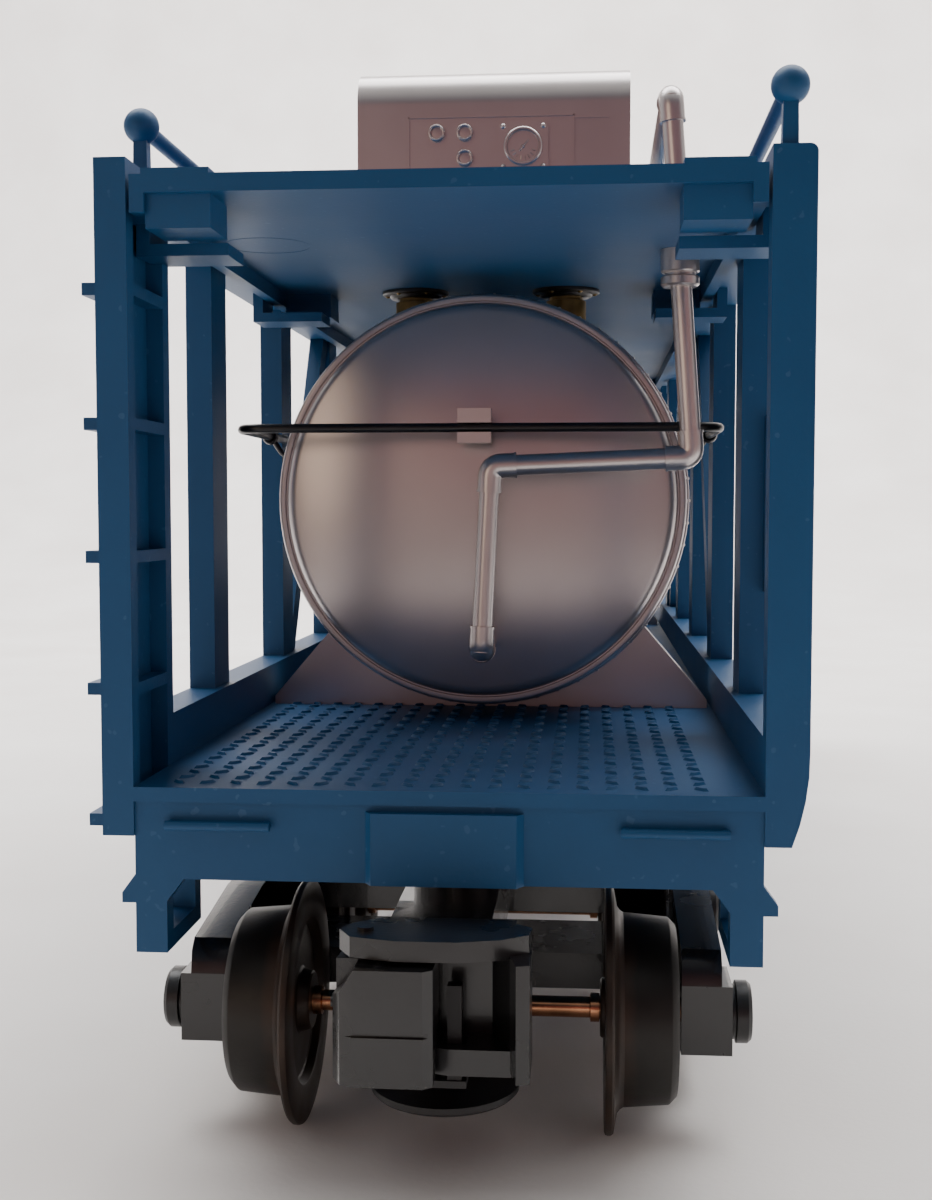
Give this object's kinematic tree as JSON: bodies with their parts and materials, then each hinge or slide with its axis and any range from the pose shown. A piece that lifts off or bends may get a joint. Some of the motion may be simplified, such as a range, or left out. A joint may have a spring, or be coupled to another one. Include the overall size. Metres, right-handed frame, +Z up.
{
  "type": "model tank wagon",
  "caption": "Model railway tank wagon: silver tank in an open frame with roof, roof cabinet and pipework, on two sprung swivelling trucks with knuckle couplers.",
  "frame": {"origin": "on the table under the wagon's middle; Z = 0 is the lowest point of the wheel flanges", "axes": "+X across, to the right seen from the -Y end; +Y along the wagon, away from the end with the control panel; +Z up"},
  "size_m": [0.0646, 0.281, 0.1157],
  "materials": {
    "blue_plastic": "satin moulded blue",
    "silver_paint": "satin silver paint on moulded plastic",
    "black_plastic": "gloss black",
    "black_wire": "satin black wire",
    "brass": "dull brass",
    "black_die_cast": "gloss black on die-cast metal",
    "coupler_metal": "satin blackened die-cast metal",
    "release_metal": "matte blackened steel",
    "wheel_metal": "blackened tread, lightly worn",
    "cap_metal": "satin black",
    "axle_metal": "bright copper-coloured plating",
    "spring_steel": "plain spring wire",
    "ballast_steel": "zinc plated",
    "screw_steel": "blackened screws and pins"
  },
  "bodies": {
    "car": {"deck": "blue_plastic", "side_wall_right": "blue_plastic", "side_wall_left": "blue_plastic", "roof": "blue_plastic", "roof_rail_right": "blue_plastic", "roof_rail_left": "blue_plastic", "tank_barrel": "silver_paint", "tank_head_a": "silver_paint", "tank_head_b": "silver_paint", "tank_bands": "silver_paint", "tank_saddle_a": "silver_paint", "tank_saddle_b": "silver_paint", "tank_top_flanges": "black_plastic", "tank_top_stubs": "brass", "tank_handrail": "black_wire", "handrail_bosses": "silver_paint", "handrail_eyelets": "black_wire", "feed_pipe": "silver_paint", "pipe_collar": "silver_paint", "vent_pipe": "silver_paint", "cabinet": "silver_paint", "control_panel": "silver_paint", "centre_sill": "black_die_cast", "ballast": "ballast_steel", "saddle_screws": "screw_steel", "sill_screws": "screw_steel", "pivot_screw_a": "screw_steel", "pivot_screw_b": "screw_steel"},
    "truck_a": {"bolster_a": "black_die_cast", "coupler_body_a": "coupler_metal", "coupler_pins_a": "screw_steel", "springs_a": "spring_steel"},
    "side_frames_a": {"spring_plank_a": "black_die_cast", "side_frame_right_a": "black_die_cast", "side_frame_left_a": "black_die_cast"},
    "wheelset_outer_a": {"axle_outer_a": "axle_metal", "wheels_outer_a": "wheel_metal", "bearing_caps_outer_a": "cap_metal"},
    "wheelset_inner_a": {"axle_inner_a": "axle_metal", "wheels_inner_a": "wheel_metal", "bearing_caps_inner_a": "cap_metal"},
    "knuckle_body_a": {"knuckle_a": "coupler_metal"},
    "release_a": {"release_flap_a": "release_metal", "release_disc_a": "release_metal"},
    "truck_b": {"bolster_b": "black_die_cast", "coupler_body_b": "coupler_metal", "coupler_pins_b": "screw_steel", "springs_b": "spring_steel"},
    "side_frames_b": {"spring_plank_b": "black_die_cast", "side_frame_right_b": "black_die_cast", "side_frame_left_b": "black_die_cast"},
    "wheelset_outer_b": {"axle_outer_b": "axle_metal", "wheels_outer_b": "wheel_metal", "bearing_caps_outer_b": "cap_metal"},
    "wheelset_inner_b": {"axle_inner_b": "axle_metal", "wheels_inner_b": "wheel_metal", "bearing_caps_inner_b": "cap_metal"},
    "knuckle_body_b": {"knuckle_b": "coupler_metal"},
    "release_b": {"release_flap_b": "release_metal", "release_disc_b": "release_metal"}
  },
  "joints": [
    {"name": "truck_swivel_a", "type": "hinge", "parent": "car", "child": "truck_a", "pos_m": [0, -0.099, 0.0202], "axis": [0, 0, 1], "range_deg": [-15, 15]},
    {"name": "suspension_a", "type": "slide", "parent": "truck_a", "child": "side_frames_a", "axis": [0, 0, 1], "range_m": [0, 0.0008], "stiffness_N_per_m": 2000, "springref_m": -0.0016, "deforming": ["springs_a"]},
    {"name": "axle_outer_a", "type": "hinge", "parent": "side_frames_a", "child": "wheelset_outer_a", "pos_m": [0, -0.117, 0.0115], "axis": [1, 0, 0], "continuous": true},
    {"name": "axle_inner_a", "type": "hinge", "parent": "side_frames_a", "child": "wheelset_inner_a", "pos_m": [0, -0.081, 0.0115], "axis": [1, 0, 0], "continuous": true},
    {"name": "knuckle_hinge_a", "type": "hinge", "parent": "truck_a", "child": "knuckle_body_a", "pos_m": [-0.0058, -0.136, 0.018], "axis": [0, 0, -1], "range_deg": [0, 45]},
    {"name": "release_hinge_a", "type": "hinge", "parent": "truck_a", "child": "release_a", "pos_m": [0, -0.1214, 0.0119], "axis": [1, 0, 0], "range_deg": [0, 4], "stiffness_Nm_per_rad": 0.002, "springref_deg": -8.59},
    {"name": "truck_swivel_b", "type": "hinge", "parent": "car", "child": "truck_b", "pos_m": [0, 0.099, 0.0202], "axis": [0, 0, 1], "range_deg": [-15, 15]},
    {"name": "suspension_b", "type": "slide", "parent": "truck_b", "child": "side_frames_b", "axis": [0, 0, 1], "range_m": [0, 0.0008], "stiffness_N_per_m": 2000, "springref_m": -0.0016, "deforming": ["springs_b"]},
    {"name": "axle_outer_b", "type": "hinge", "parent": "side_frames_b", "child": "wheelset_outer_b", "pos_m": [0, 0.117, 0.0115], "axis": [1, 0, 0], "continuous": true},
    {"name": "axle_inner_b", "type": "hinge", "parent": "side_frames_b", "child": "wheelset_inner_b", "pos_m": [0, 0.081, 0.0115], "axis": [1, 0, 0], "continuous": true},
    {"name": "knuckle_hinge_b", "type": "hinge", "parent": "truck_b", "child": "knuckle_body_b", "pos_m": [0.0058, 0.136, 0.018], "axis": [0, 0, -1], "range_deg": [0, 45]},
    {"name": "release_hinge_b", "type": "hinge", "parent": "truck_b", "child": "release_b", "pos_m": [0, 0.1214, 0.0119], "axis": [-1, 0, 0], "range_deg": [0, 4], "stiffness_Nm_per_rad": 0.002, "springref_deg": -8.59}
  ]
}
